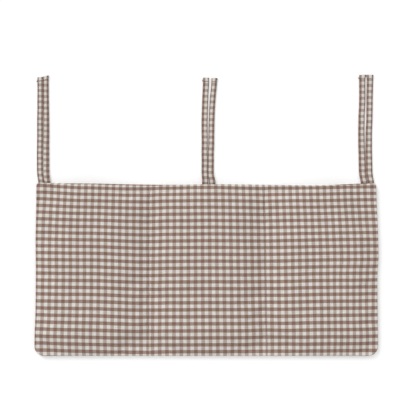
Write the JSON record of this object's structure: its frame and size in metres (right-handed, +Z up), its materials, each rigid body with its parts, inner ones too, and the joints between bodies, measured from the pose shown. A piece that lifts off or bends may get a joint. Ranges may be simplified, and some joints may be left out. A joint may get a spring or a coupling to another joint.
{
  "type": "crib organizer",
  "caption": "Flat padded gingham fabric organizer with a row of open-topped pockets and pairs of fabric ties along its top edge, for hanging on the side of a crib.",
  "frame": {"origin": "middle of the laid-out object, ties included, on the surface it lies on", "axes": "+X along the panel to the right, +Y towards the ties, +Z up out of the pocket fronts"},
  "size_m": [0.6, 0.491, 0.0158],
  "materials": {
    "gingham": "brown and cream woven gingham cotton, plain weave, matt",
    "lining": "plain cream cotton, matt",
    "wadding": "white fibre wadding, matt",
    "thread": "brown sewing thread, matt"
  },
  "bodies": {
    "back_panel": {"back_cover": "gingham", "back_wadding": "wadding", "back_lining": "lining", "top_hem": "gingham", "edge_seam_left": "gingham", "edge_seam_right": "gingham", "edge_seam_bottom": "gingham", "divider_seam_left": "gingham", "divider_seam_right": "gingham", "divider_stitch_left": "thread", "divider_stitch_right": "thread", "tie_root_left_a": "gingham", "tie_tack_left_a": "thread", "tie_root_left_b": "gingham", "tie_tack_left_b": "thread", "tie_root_middle_a": "gingham", "tie_tack_middle_a": "thread", "tie_root_middle_b": "gingham", "tie_tack_middle_b": "thread", "tie_root_right_a": "gingham", "tie_tack_right_a": "thread", "tie_root_right_b": "gingham", "tie_tack_right_b": "thread"},
    "pocket_left": {"pocket_front_left": "gingham", "pocket_lining_left": "lining", "pocket_mouth_left": "gingham"},
    "pocket_middle": {"pocket_front_middle": "gingham", "pocket_lining_middle": "lining", "pocket_mouth_middle": "gingham"},
    "pocket_right": {"pocket_front_right": "gingham", "pocket_lining_right": "lining", "pocket_mouth_right": "gingham"},
    "tie_left_a": {"tie_strip_left_a": "gingham", "tie_stitch_left_a": "thread"},
    "tie_left_b": {"tie_strip_left_b": "gingham", "tie_stitch_left_b": "thread"},
    "tie_middle_a": {"tie_strip_middle_a": "gingham", "tie_stitch_middle_a": "thread"},
    "tie_middle_b": {"tie_strip_middle_b": "gingham", "tie_stitch_middle_b": "thread"},
    "tie_right_a": {"tie_strip_right_a": "gingham", "tie_stitch_right_a": "thread"},
    "tie_right_b": {"tie_strip_right_b": "gingham", "tie_stitch_right_b": "thread"}
  },
  "joints": [
    {"name": "pocket_left_open", "type": "hinge", "parent": "back_panel", "child": "pocket_left", "pos_m": [-0.199, -0.241, 0.0057], "axis": [1, 0, 0], "range_deg": [0, 6]},
    {"name": "pocket_middle_open", "type": "hinge", "parent": "back_panel", "child": "pocket_middle", "pos_m": [0, -0.241, 0.0057], "axis": [1, 0, 0], "range_deg": [0, 6]},
    {"name": "pocket_right_open", "type": "hinge", "parent": "back_panel", "child": "pocket_right", "pos_m": [0.199, -0.241, 0.0057], "axis": [1, 0, 0], "range_deg": [0, 6]},
    {"name": "tie_left_a_swing", "type": "hinge", "parent": "back_panel", "child": "tie_left_a", "pos_m": [-0.2886, 0.0578, 0.0022], "axis": [1, 0, 0], "range_deg": [0, 95]},
    {"name": "tie_left_b_swing", "type": "hinge", "parent": "back_panel", "child": "tie_left_b", "pos_m": [-0.277, 0.0578, 0.0022], "axis": [1, 0, 0], "range_deg": [0, 95]},
    {"name": "tie_middle_a_swing", "type": "hinge", "parent": "back_panel", "child": "tie_middle_a", "pos_m": [-0.0032, 0.0578, 0.0022], "axis": [1, 0, 0], "range_deg": [0, 95]},
    {"name": "tie_middle_b_swing", "type": "hinge", "parent": "back_panel", "child": "tie_middle_b", "pos_m": [0.0084, 0.0578, 0.0022], "axis": [1, 0, 0], "range_deg": [0, 95]},
    {"name": "tie_right_a_swing", "type": "hinge", "parent": "back_panel", "child": "tie_right_a", "pos_m": [0.277, 0.0578, 0.0022], "axis": [1, 0, 0], "range_deg": [0, 95]},
    {"name": "tie_right_b_swing", "type": "hinge", "parent": "back_panel", "child": "tie_right_b", "pos_m": [0.2886, 0.0578, 0.0022], "axis": [1, 0, 0], "range_deg": [0, 95]}
  ]
}
